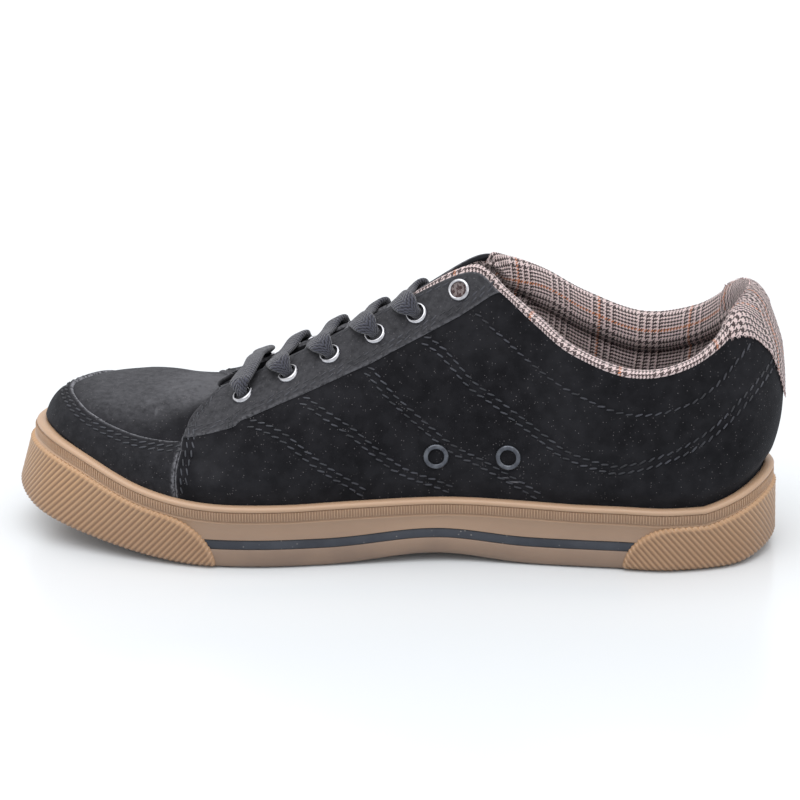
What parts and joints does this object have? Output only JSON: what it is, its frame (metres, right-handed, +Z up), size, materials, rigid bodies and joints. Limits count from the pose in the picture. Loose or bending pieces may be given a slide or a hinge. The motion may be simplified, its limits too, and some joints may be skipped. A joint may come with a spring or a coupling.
{
  "type": "skateboarding shoe",
  "caption": "Low skateboarding shoe for the right foot: gum cup sole with ribbed bumpers, hollow dark suede upper with lace eyelets, tweed padded collar and heel tab, empty and laced.",
  "frame": {"origin": "middle of the base of the shoe's box, on the floor", "axes": "-X to the toe, +X to the heel, -Y to the inner (medial) side, +Z up"},
  "size_m": [0.3, 0.1096, 0.1102],
  "materials": {
    "gum_rubber": "satin, smooth moulded gum",
    "bumper_gum": "satin, finely ribbed",
    "stripe_rubber": "matt",
    "insole_foam": "matt cloth over foam",
    "dark_suede": "napped, near black",
    "tweed": "woven check, rough",
    "eyelet_steel": "polished",
    "vent_steel": "dark plated",
    "lace_cloth": "flat woven"
  },
  "bodies": {
    "root": {"sole": "gum_rubber", "side_stripe": "stripe_rubber", "toe_bumper": "bumper_gum", "heel_bumper": "bumper_gum", "insole": "insole_foam", "upper": "dark_suede", "toe_guard": "dark_suede", "eyestay_medial": "dark_suede", "eyestay_lateral": "dark_suede", "tongue": "dark_suede", "collar_lining": "tweed", "eyelet_medial_1": "eyelet_steel", "eyelet_medial_2": "eyelet_steel", "eyelet_medial_3": "eyelet_steel", "eyelet_medial_4": "eyelet_steel", "eyelet_medial_5": "eyelet_steel", "eyelet_medial_6": "eyelet_steel", "eyelet_lateral_1": "eyelet_steel", "eyelet_lateral_2": "eyelet_steel", "eyelet_lateral_3": "eyelet_steel", "eyelet_lateral_4": "eyelet_steel", "eyelet_lateral_5": "eyelet_steel", "eyelet_lateral_6": "eyelet_steel", "vent_1": "vent_steel", "vent_2": "vent_steel", "lace_bar": "lace_cloth", "lace_cross_1": "lace_cloth", "lace_cross_2": "lace_cloth", "lace_cross_3": "lace_cloth", "lace_cross_4": "lace_cloth"}
  },
  "joints": []
}
